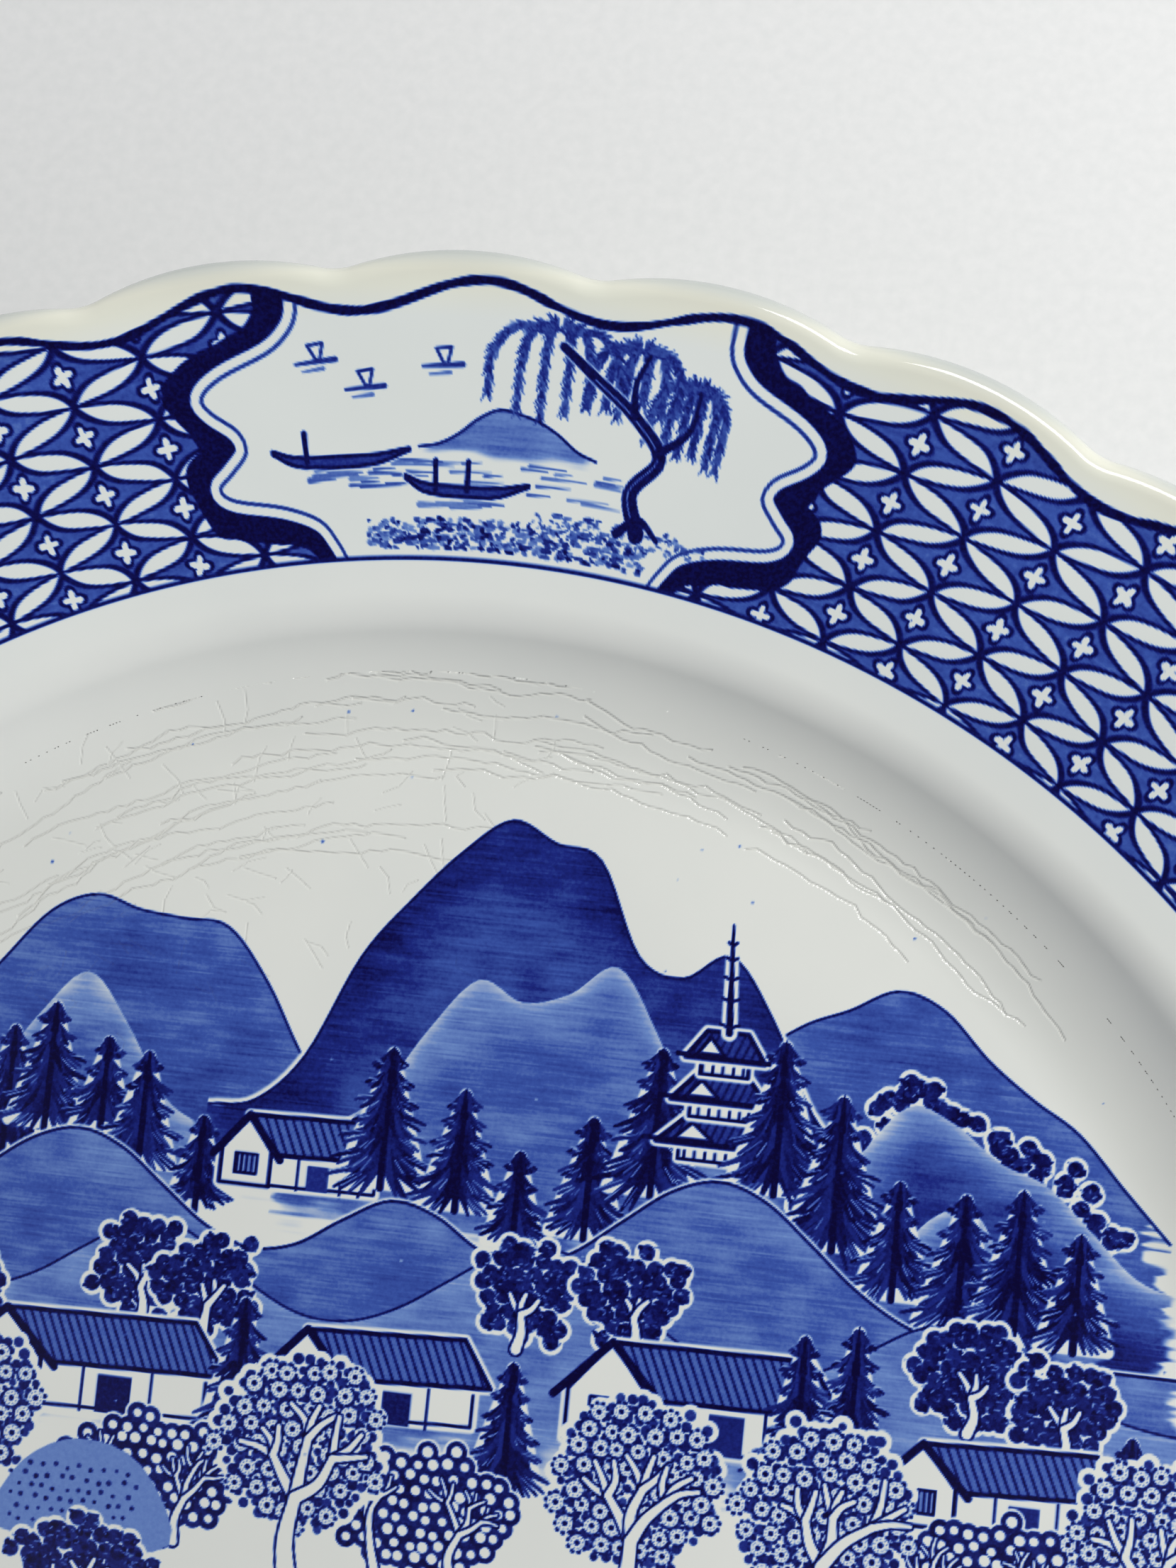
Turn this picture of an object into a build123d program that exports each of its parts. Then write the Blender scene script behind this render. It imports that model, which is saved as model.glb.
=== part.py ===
"""A transfer-printed earthenware dinner plate with a scalloped edge.

The plate is one fired piece made of layers: the moulded biscuit body, the two
underglaze prints laid on it, and the glaze that covers them all but the foot.
The foot stands on Z = 0 and +Z is the plate's axis. Lengths are millimetres.
"""
import os
from math import cos, pi, radians, sin, tan

from build123d import *

# Layers
glaze_thickness = 0.3
ink_thickness = 0.1

# Outline of the moulded edge, before glazing
crest_radius = 131.7  # tip of a scallop
scallop_depth = 1.5  # crest to notch
scallops = 32
first_notch = radians(3.75)  # clockwise from +Y, seen from above
notch_arc_radius = 8.0

# Upper side
floor_height = 6.8
floor_radius = 83.0
cavetto_radius = 18.0  # hollow curve between the floor and the rim
cavetto_angle = radians(48)
shoulder_radius = 8.0  # rounded step where the rim begins
rim_slope = radians(17.7)

# Underside
wall = 4.2
foot_radius = 77.0
foot_width = 4.0
foot_draft = 1.6  # each flank of the foot leans out by this much
foot_corner = 1.0
foot_root = 1.2
glaze_lowest = 0.6  # the foot is wiped clean up to here
lip_rounding = 1.7

# Prints
centre_print_radius = 92.0
border_print_radius = 102.6
border_print_inset = 2.1  # cream edge left outside the border print
beyond = crest_radius + 5.0  # where profiles are drawn past the edge


def profile_points(lift):
    """Corners and arc middles of the upper side's line, raised square to itself by lift."""
    hollow = cavetto_radius - lift
    step = shoulder_radius + lift
    hollow_x = floor_radius
    hollow_z = floor_height + cavetto_radius
    step_x = hollow_x + (cavetto_radius + shoulder_radius) * sin(cavetto_angle)
    step_z = hollow_z - (cavetto_radius + shoulder_radius) * cos(cavetto_angle)
    middle = (cavetto_angle + rim_slope) / 2
    rim_start = (step_x - step * sin(rim_slope), step_z + step * cos(rim_slope))
    return {
        "axis": (0.0, floor_height + lift),
        "floor_end": (hollow_x, hollow_z - hollow),
        "hollow_middle": (
            hollow_x + hollow * sin(cavetto_angle / 2),
            hollow_z - hollow * cos(cavetto_angle / 2),
        ),
        "hollow_end": (
            hollow_x + hollow * sin(cavetto_angle),
            hollow_z - hollow * cos(cavetto_angle),
        ),
        "step_middle": (step_x - step * sin(middle), step_z + step * cos(middle)),
        "rim_start": rim_start,
        "rim_end": (beyond, rim_start[1] + (beyond - rim_start[0]) * tan(rim_slope)),
    }


def draw_profile(points):
    """Draws that line, from the end of the floor outwards, in the current BuildLine."""
    ThreePointArc(points["floor_end"], points["hollow_middle"], points["hollow_end"])
    ThreePointArc(points["hollow_end"], points["step_middle"], points["rim_start"])
    Line(points["rim_start"], points["rim_end"])


def draw_section(swell):
    """Draws half the plate's section, swollen by swell, in the current BuildLine."""
    upper = profile_points(swell)
    lower = profile_points(-wall - swell)
    root = foot_width / 2 + swell
    under = lower["axis"][1]
    draw_profile(upper)
    Line(upper["axis"], upper["floor_end"])
    Line(upper["rim_end"], lower["rim_end"])
    draw_profile(lower)
    FilletPolyline(
        lower["floor_end"],
        (foot_radius + root + foot_draft, under),
        (foot_radius + root, 0.0),
        (foot_radius - root, 0.0),
        (foot_radius - root - foot_draft, under),
        lower["axis"],
        radius=[foot_root, foot_corner, foot_corner, foot_root],
    )
    Line(lower["axis"], upper["axis"])


def polar(radius, angle):
    """A point at a distance from the axis, at an angle clockwise from +Y."""
    return (radius * sin(angle), radius * cos(angle))


def crest_arc_radius():
    """Radius of each crest's arc, which makes it tangent to the notch arcs beside it."""
    half_pitch = pi / scallops
    notch_centre = crest_radius - scallop_depth + notch_arc_radius
    apart = crest_radius**2 + notch_centre**2 - 2 * crest_radius * notch_centre * cos(half_pitch)
    reach = crest_radius - notch_centre * cos(half_pitch) + notch_arc_radius
    return (apart - notch_arc_radius**2) / (2 * reach)


def arc_join(notch, crest, inset):
    """Where a notch's arc meets a crest's arc, given the angle of each."""
    crest_arc = crest_arc_radius()
    share = (notch_arc_radius + inset) / (notch_arc_radius + crest_arc)
    notch_centre = polar(crest_radius - scallop_depth + notch_arc_radius, notch)
    crest_centre = polar(crest_radius - crest_arc, crest)
    return tuple(n + (c - n) * share for n, c in zip(notch_centre, crest_centre))


def draw_outline(inset):
    """Draws the scalloped outline, moved inwards by inset, in the current BuildLine."""
    half_pitch = pi / scallops
    for index in range(scallops):
        notch = first_notch + 2 * index * half_pitch
        crest = notch + half_pitch
        before = arc_join(notch, notch - half_pitch, inset)
        after = arc_join(notch, crest, inset)
        next_join = arc_join(crest + half_pitch, crest, inset)
        ThreePointArc(before, polar(crest_radius - scallop_depth - inset, notch), after)
        ThreePointArc(after, polar(crest_radius - inset, crest), next_join)


def section(swell):
    """Half the plate's section, swollen by swell."""
    with BuildSketch(Plane.XZ) as half:
        with BuildLine():
            draw_section(swell)
        make_face()
    return half.sketch


def outline(inset):
    """The scalloped outline, filled."""
    with BuildSketch(Plane.XY) as filled:
        with BuildLine():
            draw_outline(inset)
        make_face()
    return filled.sketch


def film_section(inner, outer):
    """Half the section of a print's ink, which lies on the body between two radii."""
    under = profile_points(0.0)
    over = profile_points(ink_thickness)
    with BuildSketch(Plane.XZ) as half:
        with BuildLine():
            draw_profile(under)
            Line(under["rim_end"], over["rim_end"])
            draw_profile(over)
            Line(over["floor_end"], over["axis"])
            Line(over["axis"], under["axis"])
            Line(under["axis"], under["floor_end"])
        make_face()
        with Locations(((inner + outer) / 2, crest_radius / 2)):
            Rectangle(outer - inner, crest_radius, mode=Mode.INTERSECT)
    return half.sketch


def lip_edges(part):
    """The edges where the scalloped wall meets the upper side and the underside."""
    wall_faces = part.faces().filter_by(GeomType.CYLINDER)
    return wall_faces.edges().filter_by(lambda edge: edge.bounding_box().size.Z < wall / 2)


# The moulded and fired body, which shows only on the wiped foot
with BuildPart() as biscuit_body:
    revolve(section(0.0), axis=Axis.Z)
    extrude(outline(0.0), amount=crest_radius, mode=Mode.INTERSECT)
    fillet(lip_edges(biscuit_body), radius=lip_rounding)

# The printed scene in the middle of the plate: a film of cobalt ink on the body
with BuildPart() as centre_print:
    revolve(film_section(0.0, centre_print_radius), axis=Axis.Z)

# The printed border, from its thin inner line to the wavy line along the edge
with BuildPart() as border_print:
    revolve(film_section(border_print_radius, beyond), axis=Axis.Z)
    extrude(outline(border_print_inset), amount=crest_radius, mode=Mode.INTERSECT)

# The clear glaze: a skin over the body and both prints, wiped off the foot's tread,
# which leaves it in two pieces
with BuildPart() as glaze_coat:
    revolve(section(glaze_thickness), axis=Axis.Z)
    extrude(outline(-glaze_thickness), amount=crest_radius, mode=Mode.INTERSECT)
    fillet(lip_edges(glaze_coat), radius=lip_rounding + glaze_thickness)
    with BuildSketch(Plane.XY):
        Circle(crest_radius)
    extrude(amount=glaze_lowest, mode=Mode.SUBTRACT)
    add(biscuit_body.part, mode=Mode.SUBTRACT)
    add(centre_print.part, mode=Mode.SUBTRACT)
    add(border_print.part, mode=Mode.SUBTRACT)
glaze_pieces = glaze_coat.solids().sort_by(SortBy.VOLUME)

# The glaze over the whole upper side and the underside as far as the foot
with BuildPart() as glaze:
    add(glaze_pieces.last)

# The glaze on the base, inside the foot
with BuildPart() as base_glaze:
    add(glaze_pieces.first)

os.makedirs("parts", exist_ok=True)

biscuit_body.part.label = "biscuit_body"
export_step(biscuit_body.part, "parts/biscuit_body.step")

centre_print.part.label = "centre_print"
export_step(centre_print.part, "parts/centre_print.step")

border_print.part.label = "border_print"
export_step(border_print.part, "parts/border_print.step")

glaze.part.label = "glaze"
export_step(glaze.part, "parts/glaze.step")

base_glaze.part.label = "base_glaze"
export_step(base_glaze.part, "parts/base_glaze.step")
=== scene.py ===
"""The transfer-printed dinner plate as it looks: its glaze, its cobalt prints and a pale table.

Art is laid out in plate millimetres. On the rim it uses (across, radius): the way round
from the middle of a border strip, measured on a circle of MEAN_RADIUS, and the distance
from the axis. In the well it uses (x, y), with +y towards the top of the scene. Ink runs
from 0, bare glaze, to 1, the darkest cobalt, and is kept on each vertex.
"""

import math

import bpy
import numpy as np
from mathutils import Matrix, Vector


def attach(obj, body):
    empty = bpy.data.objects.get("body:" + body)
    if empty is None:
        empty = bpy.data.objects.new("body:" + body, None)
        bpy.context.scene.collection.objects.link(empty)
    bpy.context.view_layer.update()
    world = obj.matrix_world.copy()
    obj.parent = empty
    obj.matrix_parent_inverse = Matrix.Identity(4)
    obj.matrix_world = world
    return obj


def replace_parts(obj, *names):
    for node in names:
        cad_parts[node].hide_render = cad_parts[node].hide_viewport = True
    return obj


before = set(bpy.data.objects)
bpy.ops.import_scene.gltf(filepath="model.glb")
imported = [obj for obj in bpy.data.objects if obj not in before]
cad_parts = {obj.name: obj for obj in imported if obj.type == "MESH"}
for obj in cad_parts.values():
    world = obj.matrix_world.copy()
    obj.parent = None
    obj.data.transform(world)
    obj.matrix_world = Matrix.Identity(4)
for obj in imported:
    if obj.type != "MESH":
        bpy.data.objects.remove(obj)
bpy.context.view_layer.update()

MM = 0.001

# The glazed plate, as in the solids
CREST_RADIUS = 132.0
SCALLOPS = 32
SCALLOP_PITCH = 2 * math.pi / SCALLOPS
FIRST_NOTCH = math.radians(3.75)
NOTCH_CENTRE = 138.2  # each notch is an arc about a point this far out
NOTCH_ARC = 7.7
FLOOR_HEIGHT = 6.8
FLOOR_RADIUS = 83.0
CAVETTO_RADIUS = 18.0
CAVETTO_ANGLE = math.radians(48)
SHOULDER_RADIUS = 8.0
RIM_SLOPE = math.radians(17.7)
GLAZE = 0.3
WALL = 4.2
LIP_RADIUS = 2.0
FOOT_FLANK = 79.3
FOOT_ROOT = 82.0
GLAZE_LOWEST = 0.6

# How the visible surface is divided
WELL_RADIUS = 92.5
MEAN_RADIUS = 115.0
STRIPS = 4
FINE = 0.17
COARSE = 0.36

# The print
LINE_RADIUS = 103.0
EDGE_LINE_RADIUS = 127.2
EDGE_LINE_SWING = 1.35
EDGE_LINE_TURN = math.radians(0.9)
PETAL_ANGLE = math.radians(3.765)
PETAL_RISE = 2.8


# ---------------------------------------------------------------- shape of the plate


def offset_height(radius, lift):
    """Height of the upper side at a distance from the axis, raised square to itself by lift."""
    hollow = CAVETTO_RADIUS - lift
    step = SHOULDER_RADIUS + lift
    reach = CAVETTO_RADIUS + SHOULDER_RADIUS
    hollow_z = FLOOR_HEIGHT + CAVETTO_RADIUS
    step_x = FLOOR_RADIUS + reach * math.sin(CAVETTO_ANGLE)
    step_z = hollow_z - reach * math.cos(CAVETTO_ANGLE)
    hollow_end = FLOOR_RADIUS + hollow * math.sin(CAVETTO_ANGLE)
    rim_start = step_x - step * math.sin(RIM_SLOPE)
    rim_z = step_z + step * math.cos(RIM_SLOPE)
    in_hollow = np.clip(radius - FLOOR_RADIUS, 0, hollow * 0.999)
    in_step = np.clip(radius - step_x, -step * 0.999, 0)
    return np.where(
        radius < hollow_end,
        hollow_z - np.sqrt(hollow**2 - in_hollow**2),
        np.where(
            radius < rim_start,
            step_z + np.sqrt(step**2 - in_step**2),
            rim_z + (radius - rim_start) * math.tan(RIM_SLOPE),
        ),
    )


def edge_radius(angle):
    """Distance of the glazed edge from the axis, at an angle clockwise from +Y."""
    crest_tip = CREST_RADIUS - GLAZE
    half = SCALLOP_PITCH / 2
    wide = NOTCH_ARC + GLAZE
    apart = crest_tip**2 + NOTCH_CENTRE**2 - 2 * crest_tip * NOTCH_CENTRE * math.cos(half)
    crest_arc = (apart - wide**2) / (2 * (crest_tip - NOTCH_CENTRE * math.cos(half) + wide))
    crest_centre = crest_tip - crest_arc
    share = NOTCH_ARC / (wide + crest_arc)
    join_x = crest_centre * math.sin(half) * share
    join_y = NOTCH_CENTRE + (crest_centre * math.cos(half) - NOTCH_CENTRE) * share
    join = math.atan2(join_x, join_y)
    from_notch = np.abs((angle - FIRST_NOTCH + half) % SCALLOP_PITCH - half)
    from_crest = half - from_notch
    notch_part = NOTCH_ARC**2 - (NOTCH_CENTRE * np.sin(from_notch)) ** 2
    notch_radius = NOTCH_CENTRE * np.cos(from_notch) - np.sqrt(np.maximum(notch_part, 0))
    crest_part = (crest_arc + GLAZE) ** 2 - (crest_centre * np.sin(from_crest)) ** 2
    crest_radius = crest_centre * np.cos(from_crest) + np.sqrt(crest_part)
    return np.where(from_notch < join, notch_radius, crest_radius)


def smooth(value):
    """An S-shaped step from 0 to 1 as value goes from 0 to 1."""
    value = np.clip(value, 0, 1)
    return value * value * (3 - 2 * value)


def follow_edge(nominal, edge):
    """Radius of a ring that is round at the inner border and scalloped by the edge."""
    return nominal + (edge - CREST_RADIUS) * smooth((nominal - 112.0) / 16.0)


def lip_section(edge, steps):
    """(radius, height) of the upper half of the lip, from where the rim turns down."""
    centre = edge - LIP_RADIUS
    height = offset_height(centre, GLAZE) - LIP_RADIUS / math.cos(RIM_SLOPE)
    turns = np.linspace(math.pi / 2 + RIM_SLOPE, 0, steps + 1)[1:, None]
    return centre + LIP_RADIUS * np.cos(turns), height + LIP_RADIUS * np.sin(turns)


# ---------------------------------------------------------------- mesh making


def grid_object(name, points, kept=None, flip=False, **values):
    """A mesh over a grid of points in millimetres, with a float attribute for each value."""
    rows, columns = points.shape[:2]
    kept = np.ones((rows, columns), bool) if kept is None else kept
    number = np.full((rows, columns), -1, np.int32)
    number[kept] = np.arange(int(kept.sum()), dtype=np.int32)
    corners = [number[:-1, :-1], number[:-1, 1:], number[1:, 1:], number[1:, :-1]]
    if flip:
        corners.reverse()
    faces = np.stack(corners, -1).reshape(-1, 4)
    faces = faces[(faces >= 0).all(1)]
    mesh = bpy.data.meshes.new(name)
    mesh.vertices.add(int(kept.sum()))
    mesh.vertices.foreach_set("co", (points[kept] * MM).astype(np.float32).ravel())
    mesh.loops.add(faces.size)
    mesh.loops.foreach_set("vertex_index", faces.ravel())
    mesh.polygons.add(len(faces))
    mesh.polygons.foreach_set("loop_start", np.arange(0, faces.size, 4, dtype=np.int32))
    mesh.polygons.foreach_set("use_smooth", np.ones(len(faces), bool))
    mesh.update(calc_edges=True)
    for key, value in values.items():
        layer = mesh.attributes.new(key, "FLOAT", "POINT")
        layer.data.foreach_set("value", value[kept].astype(np.float32))
    made = bpy.data.objects.new(name, mesh)
    bpy.context.collection.objects.link(made)
    return made


# ---------------------------------------------------------------- drawing


class Canvas:
    """Ink and craze lines on a grid of places, which art is painted on like layers."""

    def __init__(self, across, up, slack=0.0):
        self.across = across.astype(np.float32)
        self.up = up.astype(np.float32)
        self.columns = across[0]
        self.rows = up[:, 0]
        self.slack = slack
        self.ink = np.zeros(across.shape, np.float32)
        self.craze = np.zeros(across.shape, np.float32)

    def window(self, low, high):
        """The part of the grid that covers a box from low to high."""
        left, right = np.searchsorted(self.columns, (low[0], high[0]))
        bottom, top = np.searchsorted(self.rows, (low[1] - self.slack, high[1] + self.slack))
        return np.s_[max(bottom - 1, 0) : top + 1, max(left - 1, 0) : right + 1]

    def lay(self, part, cover, tone, layer="ink"):
        """Paints tone over part of the grid, as far as cover says."""
        under = getattr(self, layer)[part]
        under += (tone - under) * cover


def noise(across, up, cell_across, cell_up, seed):
    """Smooth noise from -1 to 1 with cells of that size."""
    rng = np.random.default_rng(seed)
    table = rng.uniform(-1, 1, (256, 256)).astype(np.float32)
    x, y = across / cell_across, up / cell_up
    column, row = np.floor(x).astype(np.int32), np.floor(y).astype(np.int32)
    fx, fy = smooth(x - column), smooth(y - row)
    column, row = column & 255, row & 255
    right, above = (column + 1) & 255, (row + 1) & 255
    low = table[row, column] * (1 - fx) + table[row, right] * fx
    high = table[above, column] * (1 - fx) + table[above, right] * fx
    return low * (1 - fy) + high * fy


def curve(points, steps=6):
    """A smooth line through the points."""
    points = np.asarray(points, float)
    ends = np.vstack([2 * points[0] - points[1], points, 2 * points[-1] - points[-2]])
    t = (np.arange(steps) / steps)[:, None]
    pieces = []
    for a, b, c, d in zip(ends[:-3], ends[1:-2], ends[2:-1], ends[3:]):
        pieces.append(
            0.5 * (2 * b + (c - a) * t + (2 * a - 5 * b + 4 * c - d) * t**2)
            + 0.5 * (3 * b - a - 3 * c + d) * t**3
        )
    return np.vstack([*pieces, points[-1:]])


def outside(across, up, points, widths):
    """Distance outside a line whose width changes along it."""
    best = np.full(across.shape, 1e3, np.float32)
    for (ax, ay), (bx, by), wa, wb in zip(points[:-1], points[1:], widths[:-1], widths[1:]):
        dx, dy = bx - ax, by - ay
        t = ((across - ax) * dx + (up - ay) * dy) / max(dx * dx + dy * dy, 1e-9)
        t = np.clip(t, 0, 1)
        away = np.hypot(across - ax - t * dx, up - ay - t * dy) - (wa + (wb - wa) * t) / 2
        np.minimum(best, away, out=best)
    return best


def stroke(canvas, points, width, tone, halo=0.0, soft=0.16, layer="ink"):
    """A brush line. width is one number, or its widths at the start and the end."""
    points = np.asarray(points, float)
    first, last = width if isinstance(width, tuple) else (width, width)
    widths = np.linspace(first, last, len(points))
    reach = max(first, last) / 2 + halo + soft
    part = canvas.window(points.min(0) - reach, points.max(0) + reach)
    away = outside(canvas.across[part], canvas.up[part], points, widths)
    if not away.size:
        return
    if halo:
        canvas.lay(part, smooth(0.5 - (away - halo) / (2 * soft)), 0.0, layer)
    canvas.lay(part, smooth(0.5 - away / soft), tone, layer)


def dot(canvas, centre, radius, tone, halo=0.0):
    """A round spot."""
    stroke(canvas, [centre, centre], 2 * radius, tone, halo)


def shape(canvas, points, tone, line=0.0, line_tone=1.0, halo=0.0, hatch=None):
    """A filled outline, with an edge line and, where hatch gives (pitch, slant, tone), lines."""
    points = np.asarray(points, float)
    reach = line + halo + 0.3
    part = canvas.window(points.min(0) - reach, points.max(0) + reach)
    x, y = canvas.across[part], canvas.up[part]
    if not x.size:
        return
    inside = np.zeros(x.shape, bool)
    for (ax, ay), (bx, by) in zip(points, np.roll(points, -1, 0)):
        if ay != by:
            inside ^= ((ay > y) != (by > y)) & (x < (bx - ax) * (y - ay) / (by - ay) + ax)
    ring = np.vstack([points, points[:1]])
    away = outside(x, y, ring, np.zeros(len(ring)))
    signed = np.where(inside, -away, away)
    if halo:
        canvas.lay(part, smooth(0.5 - (signed - halo - line / 2) / 0.3), 0.0)
    fill = tone
    if hatch:
        pitch, slant, hatch_tone = hatch
        across_lines = np.abs(((x + y * slant) / pitch) % 1 - 0.5) * pitch
        fill = tone + (hatch_tone - tone) * smooth(0.5 - (across_lines - 0.16) / 0.16)
    canvas.lay(part, smooth(0.5 - signed / 0.16), fill)
    if line:
        canvas.lay(part, smooth(0.5 - (away - line / 2) / 0.16), line_tone)


def hill(canvas, ridge, foot, tone, deep=0.25, fade=3.0, line=0.0, light=0.0, halo=0.0, seed=0):
    """A washed slope under a ridge line, streaked across, which thins out at its foot."""
    ridge, foot = curve(ridge), curve(foot)
    low = (ridge[:, 0].min(), foot[:, 1].min() - fade)
    high = (ridge[:, 0].max(), ridge[:, 1].max() + 1 + halo)
    part = canvas.window(low, high)
    x, y = canvas.across[part], canvas.up[part]
    top = np.interp(x, ridge[:, 0], ridge[:, 1])
    bottom = np.interp(x, foot[:, 0], foot[:, 1])
    away = outside(x, y, ridge, np.zeros(len(ridge)))
    below = np.where(y < top, away, -away)
    ragged = (noise(x, y, 4.0, 0.4, seed + 1) * 0.5 + noise(x, y, 3.0, 2.4, seed + 4) * 0.6) * fade * 0.6
    ends = np.minimum(x - ridge[0, 0], ridge[-1, 0] - x) + ragged
    cover = smooth(0.5 + below / 0.16) * smooth((y - bottom + ragged) / fade + 0.5)
    cover *= smooth(ends / 1.5)
    if halo:
        canvas.lay(part, smooth(0.5 + (below + halo) / 0.4) * smooth(ends) * (below < 0.3), 0.0)
    streaks = noise(x, y, 6.0, 0.22, seed + 2) * 0.055 + noise(x, y, 2.2, 0.13, seed + 3) * 0.05
    mottle = noise(x, y, 2.6, 1.8, seed + 5) * 0.06 + noise(x, y, 9.0, 4.0, seed + 6) * 0.06
    shade = tone + streaks + mottle + deep * (smooth(below / 9.0) - 0.5)
    shade -= light * np.exp(-np.maximum(below, 0) / 0.9)
    canvas.lay(part, cover, np.clip(shade, 0.05, 0.97))
    if line:
        stroke(canvas, ridge, (line, line), 0.95)


def scatter(rng, low, high, spacing):
    """Places about spacing apart over a box, in rows that are shifted and jittered."""
    rows = np.arange(low[1], high[1], spacing * 0.87)
    for index, y in enumerate(rows):
        for x in np.arange(low[0] + (index % 2) * spacing / 2, high[0], spacing):
            yield x + rng.uniform(-0.18, 0.18) * spacing, y + rng.uniform(-0.18, 0.18) * spacing


def in_oval(x, y, centre, size, rng, rough=0.12):
    """Whether a place lies in an oval with a rough edge."""
    away = math.hypot((x - centre[0]) / size[0], (y - centre[1]) / size[1])
    return away < 1 + rng.uniform(-rough, rough)


def box_round(centre, size):
    """The lowest and the highest corner of the box round an oval."""
    low = (centre[0] - size[0], centre[1] - size[1])
    high = (centre[0] + size[0], centre[1] + size[1])
    return low, high


def pine(canvas, base, height, width, seed):
    """A dark fir: tiers of drooping boughs, each a fan of needled twigs."""
    rng = np.random.default_rng(seed)
    x, y = base
    half = width / 2
    shape(canvas, [(x, y + height), (x - half * 0.8, y), (x + half * 0.8, y)], 0.0, halo=0.7)
    shape(canvas, [(x, y + height), (x - half * 0.7, y + 0.8), (x + half * 0.7, y + 0.8)], 0.84)
    tiers = max(4, round(height / 2.1))
    for tier in reversed(range(tiers)):
        down = (tier + 1) / tiers
        level = y + 0.6 + (height - 1.2) * (1 - down) + height / tiers * 0.9
        for side in (-1, 1):
            reach = half * (0.2 + 0.85 * down) * rng.uniform(0.85, 1.15)
            for ray in np.linspace(0, 1, 6):
                turn = math.radians(22 + 46 * ray + rng.uniform(-5, 5))
                length = reach * (1.12 - 0.3 * ray)
                middle = (x + side * math.cos(turn) * length * 0.5, level - math.sin(turn) * length * 0.42)
                end = (x + side * math.cos(turn) * length, level - math.sin(turn) * length * 0.9)
                stroke(canvas, [(x, level + 0.5), middle, end], (1.15, 0.3), rng.uniform(0.76, 1.0))
                if ray < 0.9 and rng.random() < 0.7:
                    tip = (end[0] - side * 0.3, end[1] + 0.5)
                    stroke(canvas, [middle, tip], (0.12, 0.16), rng.uniform(0.2, 0.55))
    stroke(canvas, [(x, y + height + 0.6), (x, y + height * 0.8)], (0.15, 0.9), 1.0)
    stroke(canvas, [(x, y + height * 0.8), (x, y - 0.5)], (0.5, 0.8), 1.0)


def foliage(canvas, places, rng, size=1.0):
    """A ragged dark mass of leaves round the places, with pale flecks between the leaves."""
    for place in places:
        dot(canvas, place, 1.35 * size, 0.0)
    for place in places:
        dot(canvas, place, 0.85 * size, rng.uniform(0.8, 0.95))
        for _ in range(4):
            turn, far = rng.uniform(0, 2 * math.pi), rng.uniform(0.4, 0.95) * size
            at = (place[0] + math.cos(turn) * far, place[1] + math.sin(turn) * far * 0.8)
            tip = (at[0] + rng.uniform(-0.5, 0.5) * size, at[1] + rng.uniform(-0.15, 0.35) * size)
            stroke(canvas, [at, tip], (0.62 * size, 0.3 * size), rng.uniform(0.82, 1.0))
    for place in places:
        for _ in range(2):
            at = (place[0] + rng.normal(0, 0.55) * size, place[1] + rng.normal(0, 0.45) * size)
            tip = (at[0] + rng.uniform(-0.5, 0.5), at[1] + rng.uniform(0.0, 0.3))
            stroke(canvas, [at, tip], 0.15, rng.uniform(0.25, 0.65))


def white_branches(canvas, base, reach, rng, width, depth):
    """A pale trunk that forks upwards, with dark sides."""
    if depth == 0 or width < 0.25:
        return
    bend = rng.uniform(-0.3, 0.3)
    lean = math.atan2(reach[0], reach[1])
    length = math.hypot(*reach)
    middle = (
        base[0] + math.sin(lean + bend) * length / 2,
        base[1] + math.cos(lean + bend) * length / 2,
    )
    tip = (base[0] + reach[0], base[1] + reach[1])
    path = curve([base, middle, tip], 4)
    stroke(canvas, path, (width + 0.5, width * 0.65 + 0.4), 1.0)
    for turn in (-0.6, 0.12, 0.68):
        turned = lean + turn * rng.uniform(0.75, 1.2)
        far = length * rng.uniform(0.55, 0.78)
        branch = (math.sin(turned) * far, math.cos(turned) * far)
        white_branches(canvas, tip, branch, rng, width * 0.62, depth - 1)
    stroke(canvas, path, (width, width * 0.6), 0.0)


def leafy_tree(canvas, base, size, trunk, seed):
    """A dark round tree on pale branches."""
    rng = np.random.default_rng(seed)
    centre = (base[0], base[1] + trunk + size[1])
    low, high = box_round(centre, size)
    places = [place for place in scatter(rng, low, high, 1.55) if in_oval(*place, centre, size, rng, 0.22)]
    foliage(canvas, places, rng)
    white_branches(canvas, base, (rng.uniform(-0.4, 0.4), trunk + size[1] * 0.5), rng, 1.15, 2)


def blossom(canvas, place, size, rng):
    """An open flower: a scalloped ring round a pale face and a dark eye."""
    turn = rng.uniform(0, math.pi)
    for petal in range(9):
        angle = turn + petal * math.tau / 9
        tip = (place[0] + size * math.cos(angle), place[1] + size * math.sin(angle))
        dot(canvas, tip, size * 0.26, 0.9)
    dot(canvas, place, size * 0.84, 0.0)
    for petal in range(9):
        angle = turn + petal * math.tau / 9
        tip = (place[0] + size * 0.62 * math.cos(angle), place[1] + size * 0.62 * math.sin(angle))
        dot(canvas, tip, size * 0.1, 0.45)
    dot(canvas, place, size * 0.3, 0.96)


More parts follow.
